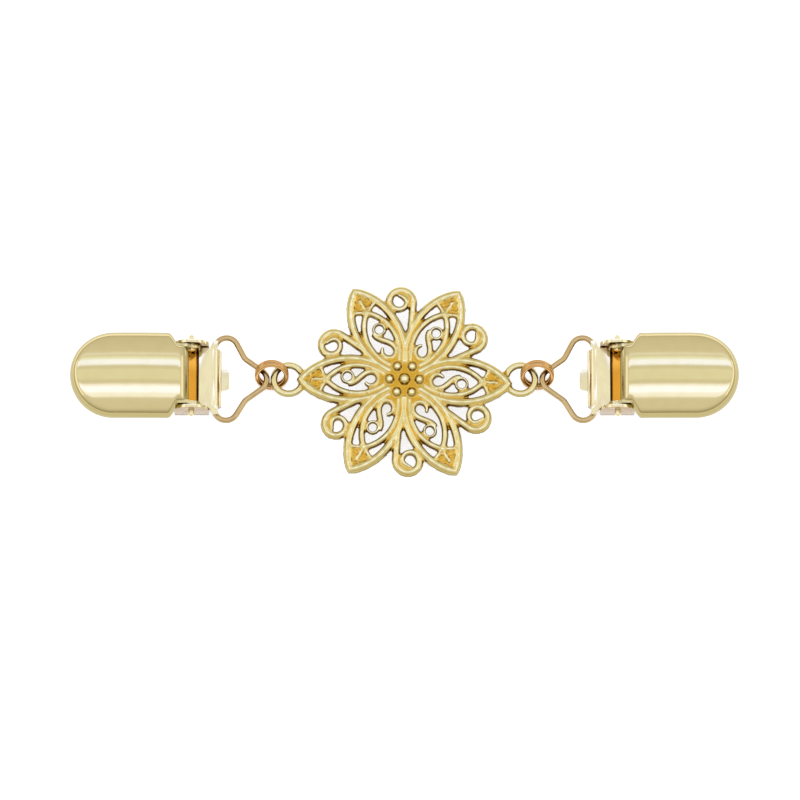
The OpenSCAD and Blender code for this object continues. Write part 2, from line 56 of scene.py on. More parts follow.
METRE = 0.001  # every length below is in millimetres
PETALS = 6
flower_sizes = {
    "Rib rise": 1.3, "Boss radius": 5.1, "Boss height": 0.94, "Middle bead": 1.05, "Middle level": 1.14,
    "Bead": 0.85, "Bead level": 0.99, "Bead circle": 2.9, "Reach": 20.2, "Back height": 2.588,
    "Dome rise": 1.4, "Turn": -1.2, "Stretch": 1.015,
    "Ring place": 22.575, "Ring side": 0.5, "Ring radius": 2.85, "Ring wire": 1.4,
}
petal_reach, petal_half_width = flower_sizes["Reach"], 4.4

# Melting and smoothing thin the ribs and end rings, so they are drawn wider than they come out
rim_width, rib_width, eye_width = 1.9, 1.45, 0.72
eye_radius, hook_radius = 1.12, 1.4
floor_back, floor_height, scroll_floor_height = 0.1, 0.72, 0.95


def bezier(corners, steps=24):
    """Points of a cubic curve, from its four corners"""
    t = np.linspace(0, 1, steps + 1)[:, None]
    a, b, c, d = (np.array(p, float) for p in corners)
    return a * (1 - t) ** 3 + 3 * b * t * (1 - t) ** 2 + 3 * c * t ** 2 * (1 - t) + d * t ** 3


def arc(centre, radius, start, sweep, steps=20):
    """Points of an arc, with its angles in degrees"""
    a = np.radians(np.linspace(start, start + sweep, steps + 1))
    return np.array(centre) + radius * np.column_stack([np.cos(a), np.sin(a)])


def leaf(corners):
    """A leaf-shaped path from its root over its tip and back to its root"""
    half = bezier(corners)
    return np.vstack([half[:0:-1] * (1, -1), half])


# Corners as shares of the petal's length and half width
petal_size = np.array([petal_reach, petal_half_width])
rim = leaf(petal_size * [[1, 0], [0.817, 1.045], [0.421, 1.273], [0.144, 0.386]])
lens = leaf(petal_size * [[0.757, 0], [0.624, 0.705], [0.396, 0.886], [0.193, 0.227]])
bar_ends = petal_size * [[0.822, -0.62], [0.757, 0], [0.822, 0.62]]
stem = petal_size * [[0.757, 0], [0.9, 0]]
eye = arc(petal_size * (0.55, -0.114), eye_radius, 0, 360)[:-1]
hook = arc(petal_size * (0.317, -0.034), hook_radius, 265, -235)
scroll = np.vstack([
    bezier(petal_size * [[0.54, 0.17], [0.455, 0.227], [0.416, -0.352], [0.317, -0.352]])[:-1], hook])


# The scroll between two petals is a stem and a spiral that tightens towards its end
scroll_reach = 18.7
scroll_middle = np.array([0.838, 0.064]) * scroll_reach
scroll_radius, scroll_width = 0.139 * scroll_reach, 1.7
# Angle on the spiral, share of its radius, share of its rib's width
spiral_turns = np.array([
    [-90, 1, 1], [-45, 0.94, 1], [0, 0.87, 1], [45, 0.83, 1], [90, 0.79, 1], [135, 0.71, 0.9],
    [180, 0.62, 0.78], [225, 0.56, 0.75], [270, 0.5, 0.72], [310, 0.39, 0.65], [345, 0.37, 0.55],
    [385, 0.48, 0.4]])


def on_spiral(angles, shares):
    """Points round the middle of the spiral, from angles in degrees and shares of its radius"""
    a = np.radians(angles)
    return scroll_middle + scroll_radius * np.column_stack([shares * np.cos(a), shares * np.sin(a)])


def outer_scroll():
    """The scroll's path and the width of its rib at each point"""
    angles = np.linspace(spiral_turns[0, 0], spiral_turns[-1, 0], 70)
    spiral = on_spiral(angles, np.interp(angles, spiral_turns[:, 0], spiral_turns[:, 1]))
    width = scroll_width * np.interp(angles, spiral_turns[:, 0], spiral_turns[:, 2])
    foot = bezier([scroll_reach * np.array(p) for p in ((0.5, -0.054), (0.61, -0.062), (0.72, -0.071))]
                  + [spiral[0]], 10)
    return np.vstack([foot[:-1], spiral]), np.concatenate([np.full(len(foot) - 1, scroll_width), width])


def turned(points, angle):
    """Points turned round the middle of the flower, by an angle in degrees"""
    c, s = math.cos(math.radians(angle)), math.sin(math.radians(angle))
    return np.array(points) @ np.array([[c, s], [-s, c]])


scroll_path, scroll_widths = outer_scroll()

# The share of each rib's points over which it narrows towards its last point
taper_share = 0.2
# Path, width (one value, or one for each point), share of the full height, share of the width that is left
# at the last point, closed or not
ribs = [
    (rim, rim_width, 1.0, 1.0, False),
    (lens, rib_width, 0.92, 1.0, False),
    (bar_ends, rib_width * 0.75, 0.84, 1.0, False),
    (stem, rib_width * 0.8, 0.84, 0.5, False),
    (scroll, rib_width, 0.88, 0.45, False),
    (eye, eye_width, 0.9, 1.0, True),
    (turned(scroll_path, 30), scroll_widths, 0.95, 1.0, False),
]

# Sunk floors: their outlines, and how high they reach
floor_angles = np.array([-84, -40, 0, 24])
floors = [(petal_size * shares, floor_height) for shares in (
    [[0.765, 0], [0.822, -0.66], [0.9, -0.5], [0.96, 0], [0.9, 0.5], [0.822, 0.66]],
    [[0.47, -0.93], [0.38, -0.9], [0.42, -0.65]],
    [[0.36, 0.92], [0.24, 0.62], [0.3, 0.5]],
    [[0.26, 0], [0.2, -0.42], [0.1, -0.2], [0.1, 0.2], [0.2, 0.42]],
)]
floors.append((turned(np.vstack([
    on_spiral(floor_angles, np.array([0.97, 0.93, 0.87, 0.84])),
    on_spiral(floor_angles[::-1], np.array([0.46, 0.42, 0.42, 0.48]))]), 30), scroll_floor_height))


def keep_on_points(mesh, **columns):
    """Stores one value for each point of the mesh, under each name"""
    for name, values in columns.items():
        mesh.attributes.new(name, "FLOAT", "POINT").data.foreach_set("value", values)


def sector_mesh():
    """Rib paths as chains of edges and floors as closed prisms, for one petal and one scroll"""
    points, edges, faces, width, rise = [], [], [], [], []
    for path, wide, high, end, closed in ribs:
        first, count = len(points), len(path)
        taper = np.clip((np.arange(count) - (1 - taper_share) * count) / (taper_share * count), 0, 1)
        wide = wide * (1 - (1 - end) * taper)
        points += [(x, y, 0.0) for x, y in path]
        width += list(wide)
        rise += list(high / wide)
        edges += [(first + i, first + i + 1) for i in range(count - 1)]
        if closed:
            edges.append((first + count - 1, first))
    for outline, top in floors:
        first, count = len(points), len(outline)
        for z in (floor_back, top):
            points += [(x, y, z) for x, y in outline]
        width += [0.0] * 2 * count
        rise += [0.0] * 2 * count
        faces.append([first + i for i in range(count)][::-1])
        faces.append([first + count + i for i in range(count)])
        for i in range(count):
            n = (i + 1) % count
            faces.append([first + i, first + n, first + count + n, first + count + i])
    mesh = bpy.data.meshes.new("flower_sector")
    mesh.from_pydata(points, edges, faces)
    keep_on_points(mesh, width=width, rise=rise)
    return mesh


def add(tree, kind, inputs=None, **settings):
    """Adds a node to a tree with its settings, values and links"""
    node = tree.nodes.new(kind)
    for name, value in settings.items():
        setattr(node, name, value)
    for name, value in (inputs or {}).items():
        for one in value if isinstance(value, list) else [value]:
            one = one.outputs[0] if isinstance(one, bpy.types.Node) else one
            if isinstance(one, bpy.types.NodeSocket):
                tree.links.new(one, node.inputs[name])
            else:
                node.inputs[name].default_value = one
    return node


def shape_tree(name, sizes):
    """A Geometry Nodes tree with a geometry, the named sizes and a material as its inputs"""
    tree = bpy.data.node_groups.new(name, "GeometryNodeTree")
    tree.interface.new_socket("Geometry", in_out="INPUT", socket_type="NodeSocketGeometry")
    for size in sizes:
        tree.interface.new_socket(size, in_out="INPUT", socket_type="NodeSocketFloat")
    tree.interface.new_socket("Material", in_out="INPUT", socket_type="NodeSocketMaterial")
    tree.interface.new_socket("Geometry", in_out="OUTPUT", socket_type="NodeSocketGeometry")
    return tree, tree.nodes.new("NodeGroupInput")


def close_tree(tree, given, shape):
    """Realises the instances, gives them the material and ends the tree"""
    real = add(tree, "GeometryNodeRealizeInstances", {"Geometry": shape})
    painted = add(tree, "GeometryNodeSetMaterial", {"Geometry": real, "Material": given.outputs["Material"]})
    add(tree, "NodeGroupOutput", {"Geometry": painted})


def placed(name, data):
    """A new object for a mesh, light or camera, linked to the scene"""
    thing = bpy.data.objects.new(name, data)
    bpy.context.collection.objects.link(thing)
    return thing


def grown(mesh, tree, values, name):
    """Runs a tree on a mesh and returns the result as a plain mesh object"""
    seed = placed(name + "_seed", mesh)
    modifier = seed.modifiers.new("shape", "NODES")
    modifier.node_group = tree
    for item in tree.interface.items_tree:
        if item.in_out == "INPUT" and item.name in values:
            modifier[item.identifier] = values[item.name]
    return settled(seed, name)


def settled(seed, name):
    """Turns an object with its modifiers into a plain mesh object, and removes the old one"""
    bpy.context.view_layer.update()
    seen = seed.evaluated_get(bpy.context.evaluated_depsgraph_get())
    mesh = bpy.data.meshes.new_from_object(seen)
    mesh.name = name
    bpy.data.objects.remove(seed)
    return placed(name, mesh)


boss_top_share, bead_faces, boss_sides = 0.9, (24, 16), 48


def flower_tree():
    """Sweeps the ribs, turns them round, sets the boss and beads, domes it all and adds the end rings"""
    tree, given = shape_tree("flower_casting", flower_sizes)
    size = given.outputs
    width = add(tree, "GeometryNodeInputNamedAttribute", {"Name": "width"}, data_type="FLOAT")
    rise = add(tree, "GeometryNodeInputNamedAttribute", {"Name": "rise"}, data_type="FLOAT")
    is_path = add(tree, "FunctionNodeCompare", {"A": width, "B": 0.01}, operation="GREATER_THAN")
    parts = add(tree, "GeometryNodeSeparateGeometry", {"Geometry": size["Geometry"], "Selection": is_path})
    paths = add(tree, "GeometryNodeMeshToCurve", {"Mesh": parts.outputs["Selection"]})
    upright = add(tree, "GeometryNodeSetCurveNormal", {"Curve": paths}, mode="Z_UP")
    half_round = add(tree, "GeometryNodeCurveArc", {
        "Resolution": 5, "Radius": 0.5, "Start Angle": math.pi, "Sweep Angle": math.pi}, mode="RADIUS")
    profile = add(tree, "GeometryNodeSetSplineCyclic", {"Geometry": half_round, "Cyclic": True})
    swept = add(tree, "GeometryNodeCurveToMesh", {
        "Curve": upright, "Profile Curve": profile, "Scale": width, "Fill Caps": True})
    place = add(tree, "GeometryNodeInputPosition")
    split = add(tree, "ShaderNodeSeparateXYZ", {"Vector": place})
    doubled = add(tree, "ShaderNodeMath", {0: size["Rib rise"], 1: 2.0}, operation="MULTIPLY")
    scale = add(tree, "ShaderNodeMath", {0: rise, 1: doubled}, operation="MULTIPLY")
    tall = add(tree, "ShaderNodeMath", {0: split.outputs["Z"], 1: scale}, operation="MULTIPLY")
    up = add(tree, "ShaderNodeCombineXYZ", {
        "X": split.outputs["X"], "Y": split.outputs["Y"], "Z": tall})
    raised = add(tree, "GeometryNodeSetPosition", {"Geometry": swept, "Position": up})
    sector = add(tree, "GeometryNodeJoinGeometry", {"Geometry": [raised, parts.outputs["Inverted"]]})

    count = add(tree, "GeometryNodePoints", {"Count": PETALS})
    index = add(tree, "GeometryNodeInputIndex")
    angle = add(tree, "ShaderNodeMath", {0: index, 1: 2 * math.pi / PETALS}, operation="MULTIPLY")
    spin = add(tree, "ShaderNodeCombineXYZ", {"Z": angle})
    spin = add(tree, "FunctionNodeEulerToRotation", {"Euler": spin})
    wheel = add(tree, "GeometryNodeInstanceOnPoints", {
        "Points": count, "Instance": sector, "Rotation": spin})
    small = add(tree, "GeometryNodeMeshUVSphere", {
        "Segments": bead_faces[0], "Rings": bead_faces[1], "Radius": size["Bead"]})
    out = add(tree, "ShaderNodeCombineXYZ", {"X": size["Bead circle"], "Z": size["Bead level"]})
    small = add(tree, "GeometryNodeTransform", {"Geometry": small, "Translation": out})
    beads = add(tree, "GeometryNodeInstanceOnPoints", {"Points": count, "Instance": small, "Rotation": spin})
    large = add(tree, "GeometryNodeMeshUVSphere", {
        "Segments": 28, "Rings": 18, "Radius": size["Middle bead"]})
    up = add(tree, "ShaderNodeCombineXYZ", {"Z": size["Middle level"]})
    large = add(tree, "GeometryNodeTransform", {"Geometry": large, "Translation": up})
    top = add(tree, "ShaderNodeMath", {0: size["Boss radius"], 1: boss_top_share}, operation="MULTIPLY")
    boss = add(tree, "GeometryNodeMeshCone", {
        "Vertices": boss_sides, "Side Segments": 4, "Fill Segments": 4, "Radius Top": top,
        "Radius Bottom": size["Boss radius"], "Depth": size["Boss height"]})
    whole = add(tree, "GeometryNodeJoinGeometry", {"Geometry": [wheel, beads, large, boss]})
    whole = add(tree, "GeometryNodeRealizeInstances", {"Geometry": whole})

    split = add(tree, "ShaderNodeSeparateXYZ", {"Vector": place})
    flat = add(tree, "ShaderNodeCombineXYZ", {"X": split.outputs["X"], "Y": split.outputs["Y"]})
    reach = add(tree, "ShaderNodeVectorMath", {0: flat}, operation="LENGTH").outputs["Value"]
    share = add(tree, "ShaderNodeMath", {0: reach, 1: size["Reach"]}, operation="DIVIDE", use_clamp=True)
    square = add(tree, "ShaderNodeMath", {0: share, 1: 2.0}, operation="POWER")
    rest = add(tree, "ShaderNodeMath", {0: 1.0, 1: square}, operation="SUBTRACT")
    lift = add(tree, "ShaderNodeMath", {
        0: rest, 1: size["Dome rise"], 2: size["Back height"]}, operation="MULTIPLY_ADD")
    lift = add(tree, "ShaderNodeCombineXYZ", {"Z": lift})
    domed = add(tree, "GeometryNodeSetPosition", {"Geometry": whole, "Offset": lift})
    radians = add(tree, "ShaderNodeMath", {0: size["Turn"]}, operation="RADIANS")
    turn = add(tree, "ShaderNodeCombineXYZ", {"Z": radians})
    turn = add(tree, "FunctionNodeEulerToRotation", {"Euler": turn})
    domed = add(tree, "GeometryNodeTransform", {"Geometry": domed, "Rotation": turn})
    stretch = add(tree, "ShaderNodeCombineXYZ", {"X": 1.0, "Y": size["Stretch"], "Z": 1.0})
    domed = add(tree, "GeometryNodeTransform", {"Geometry": domed, "Scale": stretch})

    loop = add(tree, "GeometryNodeCurvePrimitiveCircle", {"Resolution": 64, "Radius": size["Ring radius"]})
    half_wire = add(tree, "ShaderNodeMath", {0: size["Ring wire"], 1: 0.5}, operation="MULTIPLY")
    wire = add(tree, "GeometryNodeCurvePrimitiveCircle", {"Resolution": 20, "Radius": half_wire})
    ring = add(tree, "GeometryNodeCurveToMesh", {"Curve": loop, "Profile Curve": wire})
    rings = []
    for side in (-1, 1):
        x = add(tree, "ShaderNodeMath", {0: size["Ring place"], 1: side}, operation="MULTIPLY")
        spot = add(tree, "ShaderNodeCombineXYZ", {"X": x, "Y": size["Ring side"], "Z": size["Back height"]})
        rings.append(add(tree, "GeometryNodeTransform", {"Geometry": ring, "Translation": spot}))
    whole = add(tree, "GeometryNodeJoinGeometry", {"Geometry": [domed, *rings]})
    close_tree(tree, given, whole)
    return tree


def linear(code, alpha=1.0):
    """Linear colour from an sRGB hex value"""
    values = [int(code[i:i + 2], 16) / 255 for i in (1, 3, 5)]
    return (*(v / 12.92 if v <= 0.04045 else ((v + 0.055) / 1.055) ** 2.4 for v in values), alpha)


def finish_tree(name):
    """A material with its surface shader, ready for more nodes"""
    material = bpy.data.materials.new(name)
    material.use_nodes = True
    tree = material.node_tree
    return material, tree, tree.nodes["Principled BSDF"]


def yellow_gold_casting():
    """Gold plate on a tumbled casting, with painted light on it: a painted highlight makes the ridges
    palest, painted shade makes the outer walls duller, a painted reflection turns the grooves orange and
    painted shade turns the pierced holes brown."""
    material, tree, surface = finish_tree("yellow_gold_casting_painted_light")
    place = add(tree, "ShaderNodeTexCoord")
    tone = linear("#E4CF86")
    # Painted light: a painted highlight on the ridges, a painted orange reflection in the grooves, painted
    # shade on the outer walls and brown painted shade inside the holes
    painted_light_tones = {"ridge": "#FFF9CC", "groove": "#D9A636", "wall": "#857A48", "hole": "#5E380E"}
    for name, code in painted_light_tones.items():
        share = add(tree, "ShaderNodeAttribute", attribute_name=name)
        tone = add(tree, "ShaderNodeMix", data_type="RGBA", inputs={
            0: share.outputs["Fac"], 6: tone, 7: linear(code)}).outputs[2]
    cloud = add(tree, "ShaderNodeTexNoise", {
        "Vector": place.outputs["Object"], "Scale": 900.0, "Detail": 3.0})
    rough = add(tree, "ShaderNodeMapRange", {
        "Value": cloud.outputs["Fac"], "To Min": 0.1, "To Max": 0.22})
    grain = add(tree, "ShaderNodeTexNoise", {
        "Vector": place.outputs["Object"], "Scale": 4000.0, "Detail": 2.0})
    bump = add(tree, "ShaderNodeBump", {
        "Height": grain.outputs["Fac"], "Strength": 0.25, "Distance": 0.00003})
    tree.links.new(tone, surface.inputs["Base Color"])
    tree.links.new(rough.outputs["Result"], surface.inputs["Roughness"])
    tree.links.new(bump.outputs["Normal"], surface.inputs["Normal"])
    surface.inputs["Metallic"].default_value = 1.0
    return material


def melt(piece, cell, rounds):
    """Fuses the overlapping ribs of a piece into one skin and smooths it"""
    remesh = piece.modifiers.new("melt", "REMESH")
    remesh.mode = "VOXEL"
    remesh.voxel_size = cell
    smooth = piece.modifiers.new("smooth", "SMOOTH")
    smooth.factor = 0.5
    smooth.iterations = rounds
    return settled(piece, piece.name)


hole_reach = 3.2  # a wall that faces another within this distance lies inside a hole and gets the brown painted shade
# How far a point lies below or above the mean of its neighbours where the painted orange reflection of a
# groove or the painted highlight of a ridge is full
groove_bend, ridge_bend = 0.009, 0.012
# Radius of the sunk floor round the beads, and distance along a petal at which the floor of its tip starts
middle_floor, tip_floor = 5.6, 15.4
grain_pitch, grain_depth = 0.5, 0.2


def ramp(values, start, end):
    """A share that grows from 0 at the start to 1 at the end"""
    return np.clip((values - start) / (end - start), 0, 1)


def columns_of(items, name, width, kind=float):
    """One property of all the points or edges of a mesh, with a row for each"""
    values = np.empty(len(items) * width, dtype=kind)
    items.foreach_get(name, values)
    return values.reshape(-1, width)


def mark_walls_for_painted_shade(mesh, start, end):
    """Keeps on each point how much it belongs to a wall, from the upright part of its normal; this share
    sets how much painted shade the wall gets
    """
    wall = ramp(columns_of(mesh.vertices, "normal", 3)[:, 2], start, end)
    keep_on_points(mesh, wall=wall)
    return wall


def on_floors(points, normals, radius, height):
    """How much each point belongs to the sunk floor of a petal's tip or of the middle"""
    stretch, turn = flower_sizes["Stretch"], flower_sizes["Turn"]
    angle = np.degrees(np.arctan2(points[:, 1] / stretch, points[:, 0])) - turn
    along = radius * np.cos(np.radians((angle + 30) % 60 - 30))
    up = ramp(normals[:, 2], 1 / 2, 5 / 6)
    low = ramp(height, 0.98, 0.78) * ramp(height, 0.35, 0.45)
    in_tip = ramp(along, tip_floor, tip_floor + 0.3) * ramp(along, petal_reach, petal_reach - 0.5)
    in_middle = ramp(radius, middle_floor, middle_floor - 0.4)
    return up * low * np.maximum(in_tip, in_middle)


def raise_grain(points, normals, floor):
    """Moves the points of the sunk floors in and out, as cast grain"""
    for i in np.nonzero(floor > 0.02)[0]:
        spot = Vector(points[i]) / grain_pitch
        grit = noise.noise(spot) + 0.5 * noise.noise(spot * 2)
        points[i] += normals[i] * grit * grain_depth * floor[i]


def bend_of(mesh, points, normals):
    """How far each point lies below the mean of its neighbours, evened out over three steps"""
    count = len(points)
    ends = columns_of(mesh.edges, "vertices", 2, int)
    joined = np.bincount(ends.ravel(), minlength=count)

    def spread(values):
        """The mean of each point's neighbours"""
        total = np.bincount(ends[:, 0], values[ends[:, 1]], count)
        return (total + np.bincount(ends[:, 1], values[ends[:, 0]], count)) / joined

    bend = sum((spread(points[:, k]) - points[:, k]) * normals[:, k] for k in range(3))
    for _ in range(3):
        bend = spread(bend)
    return bend


def in_holes(mesh, points, normals, wall):
    """How much brown painted shade each wall point gets inside a hole, from how near the wall across from it
    is
    """
    hole = np.zeros(len(points))
    skin = BVHTree.FromPolygons(points.tolist(), [tuple(face.vertices) for face in mesh.polygons])
    for i in np.nonzero(wall > 0.02)[0]:
        way = Vector((normals[i, 0], normals[i, 1], 0))
        if way.length < 0.3:
            continue
        way.normalize()
        distance = skin.ray_cast(Vector(points[i]) + way * 0.1, way, hole_reach)[3]
        if distance is not None:
            hole[i] = wall[i] * min(1.35 - distance / hole_reach, 1)
    return hole


def grain_flower(mesh):
    """Raises the cast grain, and keeps on each point how much painted light it gets: a painted reflection in
    a groove, painted shade on a wall or in a hole, and a painted highlight on a ridge
    """
    points = columns_of(mesh.vertices, "co", 3)
    normals = columns_of(mesh.vertices, "normal", 3)
    radius = np.hypot(points[:, 0], points[:, 1])
    back = flower_sizes["Back height"] + flower_sizes["Dome rise"] * (
        1 - np.clip(radius / petal_reach, 0, 1) ** 2)
    height = points[:, 2] - back
    raise_grain(points, normals, on_floors(points, normals, radius, height))
    mesh.vertices.foreach_set("co", points.ravel())
    bend = bend_of(mesh, points, normals)
    # The low parts and hollows get the painted orange reflection of the grooves, and the bulging tops get
    # the painted highlight of the ridges
    sunk = np.where(radius < middle_floor - 0.3, ramp(height, 1.08, 0.96), ramp(height, 1.0, 0.7))
    sunk[radius > petal_reach - 0.2] = 0
    groove = np.clip(np.maximum(sunk, bend / groove_bend), 0, 1)
    ridge = ramp(-bend, ridge_bend / 3, ridge_bend * 4 / 3) * ramp(normals[:, 2], 0.8, 0.95)
    wall = mark_walls_for_painted_shade(mesh, 0.84, 0.24)
    keep_on_points(mesh, groove=groove, ridge=ridge, hole=in_holes(mesh, points, normals, wall))


def fit(piece, material, body, slot, *nodes):
    """Brings a finished piece to metres, lets it ride on its body and stand for its CAD nodes"""
    piece.data.transform(Matrix.Scale(METRE, 4))
    piece.data.materials.clear()
    piece.data.materials.append(material)
    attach(piece, body)
    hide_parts(*nodes)


def smooth(piece, angle=180):
    """Smooth shading, with a crease wherever two faces meet at more than the angle"""
    piece.data.shade_smooth()
    if angle < 180:
        piece.data.set_sharp_from_angle(angle=math.radians(angle))
    return piece


gold_casting = yellow_gold_casting()
flower = grown(sector_mesh(), flower_tree(), {**flower_sizes, "Material": gold_casting}, "flower_casting")
flower = melt(flower, cell=0.19, rounds=4)
grain_flower(flower.data)
fit(smooth(flower), gold_casting, "chain", "cast_gold", "flower")

# The wire loops
# Each is a bell-shaped loop bent from one length of round steel wire and plated. Its straight bar lies in
# the fold of the clip, and its tip hangs in the jump rings.

loop_sizes = {"Wire": 1.15}
bar_x, clip_y, bar_z = (v / METRE for v in next(
    j["pos_m"] for j in frame["joints"] if j["name"] == "right_clip_swing"))
loop_length, bar_half = 10.2, 5.95
shoulder_radius, hollow_radius, tip_radius = 2.3, 2.65, 2.2
# Place of the hollow bend, as a share of the loop's length from the bar and as a step out from the bar's end
hollow_share, hollow_step = 0.78, 0.05
loop_skew = flower_sizes["Ring side"] - clip_y
loop_tilt = math.asin((flower_sizes["Back height"] - bar_z) / loop_length)


def wire_tree():
    """Sweeps a round wire along chains of edges"""
    tree, given = shape_tree("round_wire", ["Wire"])
    path = add(tree, "GeometryNodeMeshToCurve", {"Mesh": given.outputs["Geometry"]})
    half = add(tree, "ShaderNodeMath", {0: given.outputs["Wire"], 1: 0.5}, operation="MULTIPLY")
    section = add(tree, "GeometryNodeCurvePrimitiveCircle", {"Resolution": 28, "Radius": half})
    wire = add(tree, "GeometryNodeCurveToMesh", {"Curve": path, "Profile Curve": section, "Fill Caps": True})
    close_tree(tree, given, wire)
    return tree


def chain_of_edges(points, closed):
    """A mesh whose edges join the points in their order"""
    count = len(points)
    edges = [(i, i + 1) for i in range(count - 1)] + ([(count - 1, 0)] if closed else [])
    mesh = bpy.data.meshes.new("path")
    mesh.from_pydata([tuple(p) for p in points], edges, [])
    return mesh


def loop_half(skew):
    """Half of the loop in its own plane, from the end of the bar to the tip"""
    shoulder = np.array([-shoulder_radius, bar_half])
    hollow = np.array([-hollow_share * loop_length, bar_half + hollow_step + skew])
    tip = np.array([-loop_length + tip_radius, skew])
    arm, neck = hollow - shoulder, tip - hollow
    arm_way = math.degrees(math.atan2(arm[1], arm[0])) % 360 + math.degrees(
        math.asin((shoulder_radius + hollow_radius) / np.hypot(*arm)))
    neck_way = math.degrees(math.atan2(neck[1], neck[0])) % 360 - math.degrees(
        math.asin((hollow_radius + tip_radius) / np.hypot(*neck)))
    return np.vstack([
        arc(shoulder, shoulder_radius, 0, arm_way - 90),
        arc(hollow, hollow_radius, arm_way + 90, neck_way - arm_way),
        arc(tip, tip_radius, neck_way - 90, 270 - neck_way),
    ])


def loop_path():
    """The whole loop in its place, tilted from the bar up to the flower's end ring"""
    far, near = loop_half(loop_skew), loop_half(-loop_skew)
    flat = np.vstack([far, near[-2::-1] * (1, -1)])
    c, s = math.cos(loop_tilt), math.sin(loop_tilt)
    return [(bar_x + x * c, clip_y + y, bar_z - x * s) for x, y in flat]


def plated(name, colour, rough, wear, wear_share):
    """Gold plate on steel. The polish leaves faint cloudy differences in gloss and a fine orange peel."""
    material, tree, surface = finish_tree(name)
    place = add(tree, "ShaderNodeTexCoord")
    cloud = add(tree, "ShaderNodeTexNoise", {
        "Vector": place.outputs["Object"], "Scale": 350.0, "Detail": 4.0})
    gloss = add(tree, "ShaderNodeMapRange", {
        "Value": cloud.outputs["Fac"], "To Min": rough * 0.8, "To Max": rough * 1.25})
    tone = add(tree, "ShaderNodeMapRange", {
        "Value": cloud.outputs["Fac"], "From Min": 0.45, "From Max": 0.75, "To Max": wear_share})
    mix = add(tree, "ShaderNodeMix", data_type="RGBA", inputs={
        0: tone.outputs["Result"], 6: linear(colour), 7: linear(wear)})
    peel = add(tree, "ShaderNodeTexNoise", {
        "Vector": place.outputs["Object"], "Scale": 1500.0, "Detail": 1.0})
    bump = add(tree, "ShaderNodeBump", {
        "Height": peel.outputs["Fac"], "Strength": 0.06, "Distance": 0.00002})
    tree.links.new(mix.outputs[2], surface.inputs["Base Color"])
    tree.links.new(gloss.outputs["Result"], surface.inputs["Roughness"])
    tree.links.new(bump.outputs["Normal"], surface.inputs["Normal"])
    surface.inputs["Metallic"].default_value = 1.0
    return material


def layered(material, share, code):
    """Lays another tone over the plate's own, by a share from 0 to 1"""
    colour = material.node_tree.nodes["Principled BSDF"].inputs["Base Color"]
    mix = add(material.node_tree, "ShaderNodeMix", data_type="RGBA", inputs={
        0: share, 6: colour.links[0].from_socket, 7: linear(code)})
    material.node_tree.links.new(mix.outputs[2], colour)
    return material


def paint_shade_on_walls(material, code):
    """Paints shade on the plate: a darker tone on the sides that were marked as walls"""
    share = add(material.node_tree, "ShaderNodeAttribute", attribute_name="wall")
    return layered(material, share.outputs["Fac"], code)


def tinted(material, start, end, code):
    """Lets the plate turn to another tone between two distances from the middle of the part, along X"""
    tree = material.node_tree
    place = add(tree, "ShaderNodeTexCoord")
    split = add(tree, "ShaderNodeSeparateXYZ", {"Vector": place.outputs["Object"]})
    away = add(tree, "ShaderNodeMath", {0: split.outputs["X"]}, operation="ABSOLUTE")
    share = add(tree, "ShaderNodeMapRange", {
        "Value": away, "From Min": start * METRE, "From Max": end * METRE})
    return layered(material, share.outputs["Result"], code)


def mirrored(piece, name):
    """The same piece for the left side"""
    mesh = piece.data.copy()
    mesh.transform(Matrix.Scale(-1, 4, (1, 0, 0)))
    mesh.flip_normals()
    mesh.name = name
    return placed(name, mesh)


wire_shape = wire_tree()
# The wire's steep sides and underside get painted shade
wire_gold = paint_shade_on_walls(plated("warm_gold_plated_wire", "#CFB27A", 0.16, "#B07E46", 0.3), "#664E22")
right = smooth(grown(chain_of_edges(loop_path(), True), wire_shape, loop_sizes, "right_loop"), 40)
mark_walls_for_painted_shade(right.data, 0.6, 0.1)
left = mirrored(right, "left_loop")
fit(right, wire_gold, "chain", "wire_gold", "right_wire_loop")
fit(left, wire_gold, "chain", "wire_gold", "left_wire_loop")

# The jump rings
# Two turns of thinner wire on each side, cut from a coil and closed end to end. They were plated in another
# bath, so they are redder than the rest.

jump_radius, jump_wire, jump_slope, jump_gap = 2.87, 0.88, 52.0, 0.05
link_x, link_y = 25.85, 1.35
jump_step = (jump_wire + jump_gap) / 2
slit_end, slit_angle = -89, 1.4


def jump_path(place):
    """A ring with a fine slit at its hidden side. Its place is -1 for the lower ring, 1 for the upper"""
    flat = arc((0, 0), jump_radius, slit_end, 360 - slit_angle, 96)
    c, s = math.cos(math.radians(jump_slope)), math.sin(math.radians(jump_slope))
    middle = jump_radius * s + jump_wire / 2 + jump_step * c
    return [(link_x + x, link_y + y * c - place * jump_step * s, middle + y * s + place * jump_step * c)
            for x, y in flat]


# The rings' sides and undersides get painted shade
ring_gold = paint_shade_on_walls(plated("copper_gold_plated_wire", "#DCAC6A", 0.18, "#A06C38", 0.3), "#64380E")
for place, level in ((1, "upper"), (-1, "lower")):
    path = chain_of_edges(jump_path(place), False)
    right = grown(path, wire_shape, {"Wire": jump_wire}, "right_ring_" + level)
    mark_walls_for_painted_shade(right.data, 0.5, 0.0)
    left = mirrored(smooth(right, 40), "left_ring_" + level)
    fit(right, ring_gold, "chain", "ring_gold", "right_jump_ring_" + level)
    fit(left, ring_gold, "chain", "ring_gold", "left_jump_ring_" + level)

# The clip bodies, the jaws and the studs
# Body and jaw are stamped from steel sheet and bent, and the studs are cut from wire. Stamping rounds every
# edge a little. Their shapes are the solids' own, with those edges rounded.

# The clip body's steep sides get painted shade
sheet_gold = paint_shade_on_walls(
    plated("pale_gold_plated_sheet", "#F7E8B9", 0.16, "#DDC07C", 0.25), "#A88E5E")
